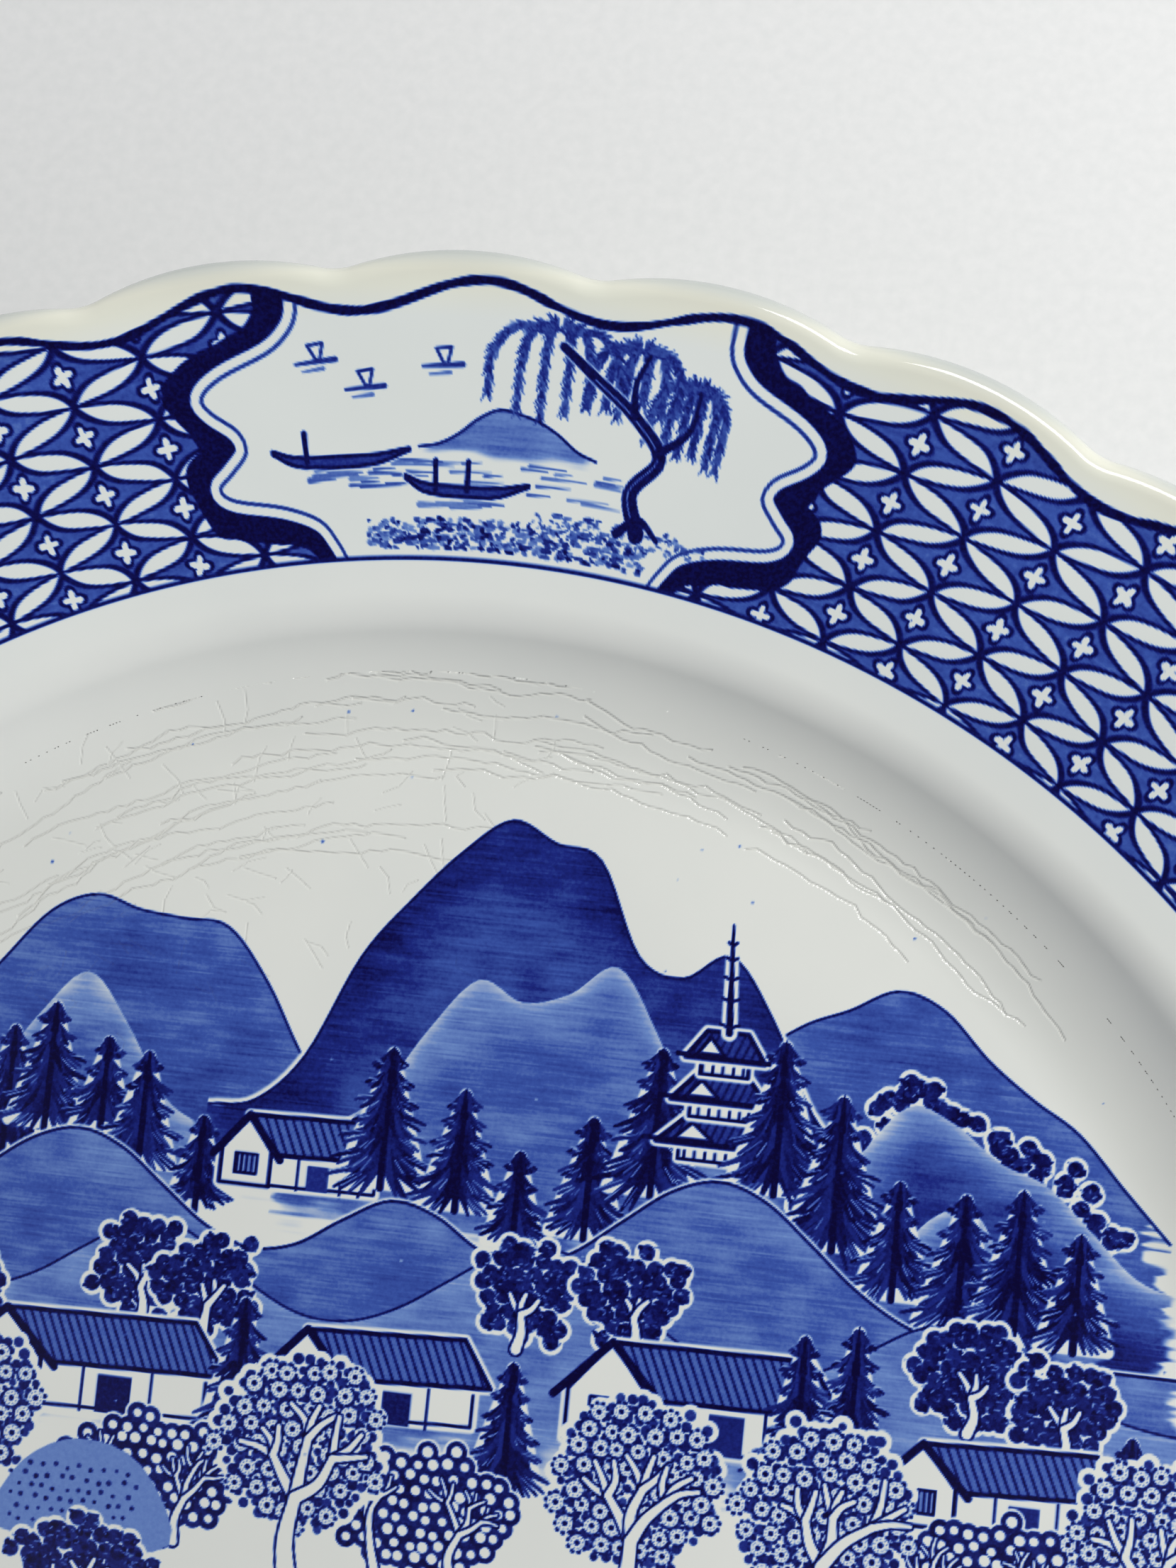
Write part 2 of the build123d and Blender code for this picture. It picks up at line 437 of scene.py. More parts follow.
def blossom_tree(canvas, base, size, trunk, seed):
    """A tree full of open flowers, with a pale forking trunk."""
    rng = np.random.default_rng(seed)
    centre = (base[0], base[1] + trunk + size[1])
    low, high = box_round(centre, size)
    leaves = [place for place in scatter(rng, low, high, 1.2) if in_oval(*place, centre, size, rng)]
    for place in leaves:
        dot(canvas, place, 1.2, 0.0)
    for place in leaves:
        dot(canvas, place, rng.uniform(0.4, 0.62), rng.uniform(0.72, 0.9))
    for place in scatter(rng, low, high, 2.35):
        if in_oval(*place, centre, size, rng):
            blossom(canvas, place, rng.uniform(0.9, 1.08), rng)
    white_branches(canvas, base, (rng.uniform(-1, 1), trunk + size[1] * 0.35), rng, 2.1, 3)


def berry_bush(canvas, centre, size, seed):
    """A dark bush dotted all over with pale fruit, on pale branches."""
    rng = np.random.default_rng(seed)
    low, high = box_round(centre, size)
    places = [place for place in scatter(rng, low, high, 1.65) if in_oval(*place, centre, size, rng)]
    for place in places:
        dot(canvas, place, 1.4, 0.0)
    for place in places:
        dot(canvas, place, 1.12, rng.uniform(0.84, 0.96))
    for place in places:
        dot(canvas, place, rng.uniform(0.46, 0.62), 0.0)
    for lean in (-0.5, 0.35):
        base = (centre[0] + lean * size[0], low[1])
        white_branches(canvas, base, (lean * 2, size[1] * 0.7), rng, 1.0, 3)


def rectangle(left, right, bottom, top):
    """The corners of an upright rectangle."""
    return [(left, bottom), (right, bottom), (right, top), (left, top)]


def house(canvas, corner, width, height, slant, seed):
    """A thatched cottage: a gable on the left, a long hatched roof and a barred window."""
    rng = np.random.default_rng(seed)
    x, y = corner
    gable = width * 0.32
    eaves = y + height * 0.5
    ridge = y + height
    wall = [(x, y), (x + width, y + slant), (x + width, eaves + slant), (x, eaves)]
    shape(canvas, wall, 0.0, line=0.35, halo=0.5)
    face = [(x, y), (x + gable, y), (x + gable, eaves), (x + gable / 2, ridge), (x, eaves)]
    roof = [
        (x + gable / 2, ridge),
        (x + width - gable * 0.2, ridge + slant),
        (x + width + gable * 0.25, eaves + slant - 0.3),
        (x + gable * 1.15, eaves - 0.3),
    ]
    shape(canvas, roof, 0.52, line=0.5, halo=0.4, hatch=(1.0, 0.45, 0.92))
    shape(canvas, face, 0.0, line=0.45)
    left_end = (x - gable * 0.18, eaves - 0.8)
    right_end = (x + gable * 1.18, eaves - 0.8)
    eave_line = [left_end, (x + gable / 2, ridge), right_end]
    stroke(canvas, eave_line, 0.85, 1.0)
    pane = rectangle(x + gable * 0.28, x + gable * 0.72, y + height * 0.16, y + height * 0.44)
    shape(canvas, pane, 0.3, line=0.3, hatch=(0.55, 0.0, 0.95))
    for share in (0.5, 0.78):
        post = x + width * share
        stroke(canvas, [(post, y), (post, eaves - 0.3)], 0.3, 0.95)
    door = rectangle(x + width * 0.56, x + width * 0.7, y, eaves - 1)
    shape(canvas, door, rng.uniform(0.75, 0.95))


def pagoda(canvas, base, tiers, width, tier_height):
    """A leaning stack of small roofed storeys under a spire."""
    x, y = base
    for tier in range(tiers):
        span = width * (1 - 0.16 * tier)
        low = y + tier * tier_height
        wall_top = low + tier_height * 0.36
        wall = rectangle(x - span * 0.36, x + span * 0.36, low, wall_top)
        shape(canvas, wall, 0.0, line=0.4, halo=0.4, hatch=(1.1, 0.0, 0.95))
        eaves = [
            (x - span * 0.6, wall_top),
            (x + span * 0.6, wall_top),
            (x + span * 0.32, low + tier_height),
            (x - span * 0.3, low + tier_height),
        ]
        shape(canvas, eaves, 0.72, line=0.5, halo=0.4, hatch=(0.9, -0.4, 0.9))
        gable = [
            (x - span * 0.42, wall_top + 0.45),
            (x - span * 0.02, wall_top + 0.45),
            (x - span * 0.24, low + tier_height * 0.86),
        ]
        shape(canvas, gable, 0.0, line=0.4)
        stroke(canvas, [(x - span * 0.72, wall_top + 0.25), (x + span * 0.66, wall_top + 0.1)], 0.5, 1.0)
        x += 0.15
    top = y + tiers * tier_height
    stroke(canvas, [(x, top), (x - 0.6, top + 11.5)], (0.8, 0.28), 1.0, halo=0.5)
    for ring, share in enumerate((0.06, 0.3, 0.5, 0.68, 0.82)):
        level = top + 11.5 * share
        half = 1.0 - 0.14 * ring
        middle = x - 0.6 * share
        hoop = [(middle - half, level + 0.2), (middle, level - 0.15), (middle + half, level + 0.2)]
        stroke(canvas, hoop, 0.35, 0.95)


def frond(canvas, start, span, fall, rng, tone):
    """One drooping willow frond, with leaves on both sides of its stem."""
    x, y = start
    bend = (x + span * 0.92, y - fall * 0.3)
    path = curve([start, (x + span * 0.5, y + 0.5), bend, (x + span, y - fall)], 6)
    stroke(canvas, path, (0.4, 0.15), tone + 0.2)
    for number, ((ax, ay), (bx, by)) in enumerate(zip(path[:-1], path[1:])):
        along = math.atan2(by - ay, bx - ax)
        for share in (0.0, 0.5):
            at = (ax + (bx - ax) * share, ay + (by - ay) * share)
            for side in (-1, 1):
                turned = along + side * rng.uniform(0.3, 0.6)
                leaf = rng.uniform(0.8, 1.2) * min(1.0, 0.4 + number * 0.12)
                tip = (at[0] + math.cos(turned) * leaf, at[1] + math.sin(turned) * leaf)
                stroke(canvas, [at, tip], (0.3, 0.12), tone + rng.uniform(-0.15, 0.15))


def willow(canvas, limbs, crowns, seed):
    """A weeping willow: crooked limbs under crowns (across, radius, spread, fall) of fronds."""
    rng = np.random.default_rng(seed)
    for x, y, spread, fall in crowns:
        for turn in np.linspace(-1, 1, 6):
            start = (x + turn * spread * 0.15, y + 0.4 - abs(turn) * 0.6)
            span = turn * spread * rng.uniform(0.85, 1.1)
            frond(canvas, start, span, fall * rng.uniform(0.6, 1.0), rng, 0.72)
    for limb, width in limbs:
        path = curve(limb, 6)
        stroke(canvas, path, (width, width * 0.45), 0.94, halo=0.12 if len(limb) > 4 else 0.0)
        if len(limb) > 4:
            stroke(canvas, path[2:-6] + np.array([-width * 0.12, 0.0]), 0.13, 0.4)


def boat(canvas, stern, length, masts=2):
    """A long low boat and its reflection."""
    x, y = stern
    rng = np.random.default_rng(int(abs(x * 10 + y)))
    for _ in range(5):
        start = (x + rng.uniform(-0.5, length * 0.6), y - rng.uniform(0.2, 1.3))
        stroke(canvas, [start, (start[0] + rng.uniform(2, 5), start[1])], (0.6, 0.2), rng.uniform(0.35, 0.6))
    aft, fore, bow = x + length * 0.2, x + length * 0.7, x + length
    lower = curve([(x, y + 1.5), (aft, y + 0.15), (fore, y), (bow, y + 1.3)], 5)
    upper = curve([(bow, y + 1.5), (fore, y + 0.9), (aft, y + 1.0), (x, y + 1.8)], 5)
    shape(canvas, np.vstack([lower, upper]), 0.72, line=0.38, line_tone=0.95, halo=0.15)
    for mast in range(masts):
        at = x + length * (0.24 + 0.26 * mast)
        stroke(canvas, [(at, y + 0.5), (at + 0.1, y + 3.2)], 0.55, 0.95)


def far_sail(canvas, place, size):
    """A small sailing boat in the distance, over its reflection."""
    x, y = place
    sail = [
        (x - size * 0.45, y + size),
        (x + size * 0.5, y + size * 1.1),
        (x + size * 0.25, y + 0.2),
        (x, y + 0.2),
    ]
    shape(canvas, sail, 0.0, line=0.3, line_tone=0.8)
    stroke(canvas, [(x - size * 1.3, y - 0.1), (x + size * 1.2, y + 0.15)], (0.3, 0.55), 0.75)
    stroke(canvas, [(x - size * 0.9, y - 0.8), (x + size * 0.4, y - 0.6)], (0.2, 0.4), 0.5)


def ripples(canvas, low, high, count, tone, seed):
    """Short level brush strokes of water."""
    rng = np.random.default_rng(seed)
    for _ in range(count):
        x, y = rng.uniform(low[0], high[0]), rng.uniform(low[1], high[1])
        length = rng.uniform(1.5, 5.0)
        end = (x + length, y + rng.uniform(-0.2, 0.2))
        stroke(canvas, [(x, y), end], (0.35, 0.12), tone + rng.uniform(-0.1, 0.15))


def stipple(canvas, low, high, spacing, tones, size, seed):
    """Small round dabs, set evenly over a stretch of ground."""
    rng = np.random.default_rng(seed)
    for x, y in scatter(rng, low, high, spacing):
        dot(canvas, (x, y), rng.uniform(*size), rng.uniform(*tones))


def dabs(canvas, low, high, count, tones, size, seed):
    """Uneven brush dabs, strewn over a stretch of ground."""
    rng = np.random.default_rng(seed)
    for _ in range(count):
        x, y = rng.uniform(low, high)
        width = rng.uniform(*size)
        tip = (x + rng.uniform(0.0, 0.7), y + rng.uniform(-0.25, 0.25))
        stroke(canvas, [(x, y), tip], (width, width * 0.6), rng.uniform(*tones))


# ---------------------------------------------------------------- the border print


def lattice(angle, radius, phase):
    """Ink of the lattice: pale petals along crossing lines, and a small flower in each cell."""
    a = (angle - phase[0]) / PETAL_ANGLE
    b = (radius - phase[1]) / PETAL_RISE
    m, n = (a + b) / 2, (a - b) / 2
    m_off, n_off = m - np.round(m), n - np.round(n)
    run = PETAL_ANGLE * radius
    side = np.hypot(run, PETAL_RISE)
    gap = 2 * run * PETAL_RISE / side
    across = angle * MEAN_RADIUS
    wobble = noise(across, radius, 2.2, 2.2, 11) * 0.08
    ink = 0.59 + noise(across, radius, 2.5, 0.3, 12) * 0.05 + noise(across, radius, 12, 12, 14) * 0.05
    ink += noise(across, radius, 0.5, 0.5, 13) * 0.04
    petals = np.full(angle.shape, 9.0, np.float32)
    for aside, along in ((m_off, n_off), (n_off, m_off)):
        from_line = (0.5 - np.abs(aside)) * gap
        half = 0.84 * (1 - (np.abs(along) / 0.445) ** 1.8)
        petals = np.minimum(petals, from_line - np.maximum(half, -0.3))
        ink = np.where(from_line < 0.2, 0.92, ink)
    petals += wobble
    ink = ink + (0.94 - ink) * smooth(0.5 - (petals - 0.44) / 0.24)
    ink = ink * (1 - smooth(0.5 - (petals + 0.02) / 0.2))
    x = (m_off + n_off) * run
    y = (m_off - n_off) * PETAL_RISE
    away = np.hypot(x, y)
    turn = np.arctan2(y, x) + noise(across, radius, 7, 4, 15) * 0.45
    bloom = away - 1.08 * (0.42 + 0.58 * np.abs(np.cos(2 * turn)) ** 1.4) + wobble
    ink = ink + (0.94 - ink) * smooth(0.5 - (bloom - 0.46) / 0.25)
    return ink * (1 - smooth(0.5 - bloom / 0.2))


def cartouche_outline():
    """The bracketed side of the framed scene: distances from the axis and half widths."""
    radii = (101, 103, 105, 107, 108.5, 109.7, 111, 112.3, 114, 116, 118, 119.5, 121, 122.6, 124.2, 126, 129)
    degrees = (8.0, 8.2, 8.7, 9.5, 11.3, 13.8, 14.5, 13.7, 12.8, 13.0, 14.1, 14.4, 13.3, 11.0, 9.9, 9.4, 9.3)
    outline = curve(list(zip(radii, degrees)), 4)
    return outline[:, 0], np.radians(outline[:, 1]) * MEAN_RADIUS


def draw_border(canvas):
    """One strip of border: lattice fields on both sides of a framed river scene."""
    across, radius = canvas.across, canvas.up
    angle = across / MEAN_RADIUS
    left_phase = (math.radians(-20.4), 118.36)
    right_phase = (math.radians(22.99), 109.53)
    ink = np.where(
        across < 0, lattice(angle, radius, left_phase), lattice(angle, radius, right_phase)
    )
    radii, halves = cartouche_outline()
    left = np.stack([-halves, radii], 1)
    right = np.stack([halves + 1.4, radii], 1)
    zeros = np.zeros(len(radii))
    away = np.minimum(outside(across, radius, left, zeros), outside(across, radius, right, zeros))
    half = np.interp(radius, radii, halves)
    framed = (across > -half) & (across < half + 1.4)
    signed = np.where(framed, -away, away)
    ribbon = 3.3 + 0.45 * np.sin(radius * 0.9) + noise(across, radius, 1.5, 1.5, 21) * 0.15
    ink = ink + (0.97 - ink) * smooth(0.5 - (signed - ribbon) / 0.2)
    ink = ink * (1 - smooth(0.5 - (signed - 1.05) / 0.2))
    canvas.ink = ink.astype(np.float32)
    stroke(canvas, left, 0.36, 0.74)
    stroke(canvas, right, 0.36, 0.74)
    draw_river_scene(canvas)
    inner_line = np.abs(radius - LINE_RADIUS - 0.2) - 0.22
    canvas.ink *= smooth((radius - LINE_RADIUS) / 0.2)
    canvas.lay(np.s_[:], smooth(0.5 - inner_line / 0.16), 0.9)
    crest_wave = -np.cos(SCALLOPS * (angle - FIRST_NOTCH - EDGE_LINE_TURN))
    edge_line = EDGE_LINE_RADIUS + EDGE_LINE_SWING * crest_wave
    edge_line = edge_line + noise(across, radius, 4.0, 90.0, 31) * 0.1
    canvas.ink *= smooth(0.5 - (radius - edge_line) / 0.2)
    line = np.abs(radius - edge_line) - 0.38 - noise(across, radius, 1.6, 9.0, 32) * 0.09
    canvas.lay(np.s_[:], smooth(0.5 - line / 0.18), 0.98)


def draw_river_scene(canvas):
    """One willow on the right bank, an island, and boats on the water to its left."""
    island = swell_line(-8, 10, 113.6, [(0, 3.6, 4.0), (5, 1.8, 3.0)], 2.0)
    hill(canvas, island, [(-8, 113.2), (10, 113.2)], 0.5, deep=0.1, fade=1, line=0.25, seed=40)
    ripples(canvas, (-23, 109.4), (12, 112.6), 34, 0.5, 41)
    boat(canvas, (-23.0, 112.0), 14.0, masts=1)
    boat(canvas, (-9.5, 109.2), 13.0)
    dabs(canvas, (-14.0, 104.2), (17.0, 107.0), 420, (0.35, 0.95), (0.25, 0.6), 46)
    dabs(canvas, (4.0, 106.6), (23.0, 108.4), 110, (0.4, 0.8), (0.2, 0.4), 49)
    trunk = [(15.5, 107.8), (14.0, 111.5), (16.2, 115.0), (13.2, 118.2), (9.0, 121.0), (5.5, 123.5)]
    limbs = [
        (trunk, 1.7),
        ([(15.8, 115.4), (18.4, 118.0), (18.6, 121.6)], 0.9),
        ([(13.0, 118.4), (12.6, 121.2), (13.4, 123.8)], 0.8),
        ([(13.4, 107.6), (15.4, 109.2), (17.8, 107.6)], 1.0),
    ]
    crowns = [(18.4, 121.4, 3.2, 6.5), (12.6, 123.8, 3.8, 6.0), (5.0, 124.6, 5.4, 8.5)]
    willow(canvas, limbs, crowns, 51)
    for x, y in ((-13.0, 119.0), (-5.5, 121.0), (-17.5, 121.5)):
        far_sail(canvas, (x, y), 1.5)


# ---------------------------------------------------------------- the centre print


def draw_centre(canvas):
    """A landscape: hills behind a valley of firs and rooftops, and an orchard with cottages."""
    draw_far_hills(canvas)
    draw_crag(canvas)
    draw_valley(canvas)
    draw_village(canvas)
    draw_orchard(canvas)
    draw_foreground(canvas)


def swell_line(left, right, level, swells, step=5.0):
    """A rolling skyline over a level: each swell has a place, a height and a half width."""
    across = np.arange(left, right + step / 2, step)
    up = np.full(len(across), float(level))
    for place, height, width in swells:
        up += height * np.exp(-(((across - place) / width) ** 2))
    return list(zip(across, up))


def range_of_hills(canvas, span, level, depth, swells, tone, seed, **look):
    """A hill or a range of them, which fades out at a depth below its level."""
    left, right = span
    middle = (left + right) / 2
    foot = [(left, level - depth), (middle, level - depth - 3), (right, level - depth)]
    hill(canvas, swell_line(left, right, level, swells), foot, tone, seed=seed, **look)


def row_of_pines(canvas, left, right, swells, level, count, seed):
    """Firs of mixed height, standing along a rolling line."""
    rng = np.random.default_rng(seed)
    ground = np.array(swell_line(left, right, level, swells))
    for number, x in enumerate(np.linspace(left, right, count)):
        y = np.interp(x, ground[:, 0], ground[:, 1])
        height = rng.uniform(9, 16)
        pine(canvas, (x + rng.normal(0, 0.7), y - 3), height, height * 0.8, seed + 1 + number)


def draw_far_hills(canvas):
    """The mountains on the skyline: a broad dark one between two paler ones."""
    left = [(-42, 21, 13), (-25, 15, 9)]
    right = [(48, 26, 14), (67, 9, 9), (33, 10, 7)]
    middle = [(4, 34, 13), (15, 11, 5), (29, 21, 9), (-10, 9, 6)]
    spurs = [(2, 17, 8), (17, 20, 8)]
    range_of_hills(canvas, (-66, -4), 43, 4, left, 0.55, 100, deep=0.05, fade=5, line=0.28)
    range_of_hills(canvas, (22, 78), 37, 5, right, 0.56, 110, deep=0.05, fade=5, line=0.28)
    range_of_hills(canvas, (-26, 46), 43, 6, middle, 0.74, 120, deep=-0.15, fade=5, line=0.3, halo=0.6)
    range_of_hills(canvas, (-18, 36), 42, 8, spurs, 0.5, 130, deep=0.1, fade=5, light=0.28)
    range_of_hills(canvas, (-56, -26), 40, 6, [(-41, 16, 8)], 0.45, 140, deep=0.12, fade=5, light=0.25)


def draw_crag(canvas):
    """A stepped mountain on the right with trees along its shoulder."""
    swells = [(50, 17, 9), (64, 9, 8)]
    rng = np.random.default_rng(151)
    shoulder = swell_line(40, 72, 36, swells, 2.0)
    places = [(x + rng.normal(0, 0.9), y - 0.4 + rng.normal(0, 1.0)) for x, y in shoulder for _ in range(3)]
    foliage(canvas, places, rng)
    range_of_hills(canvas, (34, 80), 34, 8, swells, 0.62, 160, deep=0.28, fade=5, light=0.32)
    range_of_hills(canvas, (42, 70), 30, 6, [(55, 12, 6)], 0.58, 170, deep=0.25, fade=4, light=0.34)


def draw_valley(canvas):
    """The rolling middle ground, with firs, a tower and a long roof on its crest."""
    back = [(-40, 13, 14), (-4, 9, 10), (30, 15, 15)]
    front = [(-30, 10, 12), (12, 12, 14), (56, 9, 12)]
    row_of_pines(canvas, -60, -26, back, 30, 7, 200)
    house(canvas, (-24, 35), 17, 7.5, 0.4, 230)
    row_of_pines(canvas, -6, 22, back, 31, 5, 210)
    pagoda(canvas, (29.0, 43), 3, 10.5, 4.6)
    row_of_pines(canvas, 36, 68, back, 31, 6, 220)
    range_of_hills(canvas, (-80, 82), 26, 10, back, 0.5, 240, deep=0.05, fade=4, line=0.32, halo=0.4)
    range_of_hills(canvas, (-78, 80), 20, 8, front, 0.43, 250, deep=0.02, fade=5, line=0.26, light=0.08)


def draw_village(canvas):
    """Trees and cottages across the middle of the plate."""
    groves = ((-52, 15), (-31, 19), (-24, 18), (10, 21), (22, 22), (58, 18), (68, 16))
    for number, (x, y) in enumerate(groves):
        leafy_tree(canvas, (x, y), (5.8, 5.0), 1.2, 310 + number)
    house(canvas, (-50, 9), 27, 10.0, 0.6, 320)
    house(canvas, (-16, 11.5), 22, 9.0, 0.8, 321)
    house(canvas, (16, 12.5), 27, 10.5, 0.4, 322)
    house(canvas, (50, 8), 23, 8.5, 0.8, 323)
    for number, (x, y) in enumerate(((-60, 6), (-19.5, 6), (10, 7), (46, 6), (40.5, 9), (75, 7))):
        pine(canvas, (x, y), 21 - number % 3 * 4.5, 12 - number % 3 * 1.5, 330 + number)


def draw_orchard(canvas):
    """Blossom trees and berry bushes in front of the cottages."""
    for number, x in enumerate((-68, -28, 2, 62)):
        berry_bush(canvas, (x, 3.0), (9.5, 6.5), 350 + number)
    for number, x in enumerate((-50, -12, 24, 44, 78)):
        blossom_tree(canvas, (x, -6), (9.0, 9.0), 5.5, 360 + number)
    ground = curve([(-46, -4), (-42, 3), (-36, 6), (-29, 4), (-25, -4), (-36, -6)], 4)
    shape(canvas, ground, 0.4)
    stipple(canvas, (-43, -3), (-29, 4), 1.35, (0.8, 0.97), (0.18, 0.3), 370)


def draw_foreground(canvas):
    """The near ground below the orchard: a village on a lake's shore and a planted bank."""
    bank = [
        (-84, -14), (-70, -9), (-50, -10.5), (-30, -8), (-10, -10), (12, -7), (35, -9), (60, -5), (84, -9),
    ]
    waterline = [(-84, -28), (-50, -30), (0, -27), (40, -29), (84, -26)]
    hill(canvas, bank, waterline, 0.48, deep=0.1, fade=5, line=0.3, halo=0.5, seed=410)
    for x, y, height, width, seed in (
        (-70, -19, 13, 10, 420), (-62, -21, 12, 10, 421), (-6, -22, 14, 11, 422),
        (50, -17, 15, 12, 423), (58, -19, 12, 10, 424), (72, -18, 13, 10, 425),
    ):
        pine(canvas, (x, y), height, width, seed)
    leafy_tree(canvas, (-34, -14), (8, 5), 2, 430)
    leafy_tree(canvas, (26, -13), (8, 5), 2, 431)
    house(canvas, (-52, -23), 27, 10.5, 0.5, 432)
    house(canvas, (8, -23), 30, 11.0, 0.8, 433)
    leafy_tree(canvas, (-16, -25), (6, 5.5), 2, 434)
    leafy_tree(canvas, (43, -25), (6, 5), 2, 435)
    berry_bush(canvas, (66, -26), (11, 5), 436)
    berry_bush(canvas, (-70, -26), (12, 5), 437)
    shore = [(-90, -30), (-60, -31), (-20, -29), (20, -31), (60, -29), (90, -31), (90, -56), (30, -60),
             (-30, -59), (-90, -55)]
    shape(canvas, curve(shore, 4), 0.5)
    ripples(canvas, (-84, -56), (78, -31), 520, 0.6, 440)
    for x, y, masts in ((-54, -40, 2), (-12, -37, 2), (30, -42, 1), (-30, -46, 1)):
        boat(canvas, (x, y), 17.0, masts)
    near_bank = [(-84, -50), (-60, -49), (-36, -53), (-10, -55), (14, -52), (40, -54), (64, -49), (84, -51)]
    near_foot = [(-84, -90), (0, -93), (84, -90)]
    hill(canvas, near_bank, near_foot, 0.42, deep=0.1, fade=3, line=0.35, halo=0.5, seed=450)
    dabs(canvas, (-76, -92), (76, -54), 900, (0.6, 0.95), (0.4, 0.9), 451)
    for x, y, seed in ((-62, -57, 460), (-24, -60, 461), (12, -59, 462), (56, -57, 463)):
        berry_bush(canvas, (x, y), (13, 7.5), seed)
    for x, y, seed in ((-46, -80, 470), (-6, -86, 471), (34, -83, 472)):
        blossom_tree(canvas, (x, y), (13, 11), 6, seed)
    for x, y, seed in ((-26, -86, 480), (16, -88, 481), (56, -78, 482), (-66, -76, 483)):
        leafy_tree(canvas, (x, y), (7.5, 7), 3, seed)


def draw_crazing(canvas):
    """Fine cracks in the glaze, which run round the well's edge with short cross links."""
    rng = np.random.default_rng(500)
    for _ in range(60):
        start = math.radians(rng.uniform(-58, 25))
        radius = rng.uniform(72, 94) if start < -0.35 else rng.uniform(80, 94)
        length = rng.uniform(10, 40)
        places = []
        for step in np.arange(0, length, 1.1):
            angle = start + step / radius
            places.append((radius * math.sin(angle), radius * math.cos(angle)))
            radius += rng.normal(0, 0.22)
        stroke(canvas, places, (0.16, 0.12), 1.0, soft=0.22, layer="craze")
    for _ in range(110):
        angle = math.radians(rng.uniform(-60, 10))
        radius = rng.uniform(60, 92)
        x, y = radius * math.sin(angle), radius * math.cos(angle)
        turn = rng.uniform(0, 2 * math.pi)
        length = rng.uniform(1.5, 4.0)
        end = (x + length * math.cos(turn), y + length * math.sin(turn))
        middle = ((x + end[0]) / 2 + rng.normal(0, 0.3), (y + end[1]) / 2 + rng.normal(0, 0.3))
        stroke(canvas, [(x, y), middle, end], 0.09, 0.7, soft=0.2, layer="craze")


def draw_specks(canvas):
    """Stray specks of ink and kiln dust."""
    rng = np.random.default_rng(510)
    for _ in range(160):
        place = rng.uniform(-92, 92, 2)
        dot(canvas, place, rng.uniform(0.06, 0.18), rng.uniform(0.25, 0.6))


# ---------------------------------------------------------------- building the plate


def strip_section():
    """One strip of rim, from the well's edge to the tip of the lip: its places and its art."""
    half = math.pi / STRIPS
    lip_reach = LIP_RADIUS * (1 + math.sin(RIM_SLOPE))
    columns = 4 * int(half * MEAN_RADIUS / FINE / 2) + 1
    angle = np.linspace(-half, half, columns)
    rows = 2 * int((CREST_RADIUS - lip_reach - WELL_RADIUS) / FINE / 2) + 1
    nominal = np.linspace(WELL_RADIUS, CREST_RADIUS - lip_reach, rows)
    edge = edge_radius(angle)
    radius = follow_edge(nominal[:, None], edge[None, :])
    lip_radius, lip_height = lip_section(edge[None, :], 14)
    height = np.vstack([offset_height(radius, GLAZE), lip_height])
    radius = np.vstack([radius, lip_radius])
    canvas = Canvas(np.broadcast_to(angle * MEAN_RADIUS, radius.shape), radius, slack=1.6)
    draw_border(canvas)
    return angle, radius, height, canvas.ink


def border_strips():
    """The rim in four alike strips, as its transfer was laid. The first is the finest."""
    angle, radius, height, ink = strip_section()
    made = []
    for number in range(STRIPS):
        thin = 2 if number else 1
        part = np.s_[::thin, ::thin]
        turned = (angle[::thin] + number * 2 * math.pi / STRIPS)[None, :]
        away = radius[part]
        points = np.stack([away * np.sin(turned), away * np.cos(turned), height[part]], -1)
        made.append(grid_object(f"border_strip_{number + 1}", points, flip=True, ink=ink[part]))
    return made


def spaced(low, fine_low, fine_high, high):
    """Grid lines from low to high, close together between the two fine ends."""
    return np.concatenate([
        np.arange(low, fine_low, COARSE),
        np.arange(fine_low, fine_high, FINE),
        np.arange(fine_high, high + COARSE, COARSE),
    ])


def well():
    """The floor and the curve of the well, with the centre print."""
    x, y = np.meshgrid(
        spaced(-WELL_RADIUS, -56, 86, WELL_RADIUS), spaced(-WELL_RADIUS, -12, WELL_RADIUS, WELL_RADIUS)
    )
    canvas = Canvas(x, y)
    draw_centre(canvas)
    draw_specks(canvas)
    draw_crazing(canvas)
    away = np.hypot(x, y)
    fade = smooth((91.5 - away) / 2.5 + noise(x, y, 3.0, 0.4, 520) * 0.4)
    ink = canvas.ink * fade
    kept = away < WELL_RADIUS + FINE * 0.7
    pull = np.where(away > WELL_RADIUS - FINE * 0.5, WELL_RADIUS / np.maximum(away, 1), 1)
    x, y = x * pull, y * pull
    points = np.stack([x, y, offset_height(np.hypot(x, y), GLAZE)], -1)
    return grid_object("well", points, kept, ink=ink, craze=canvas.craze * (1 - 0.8 * ink))


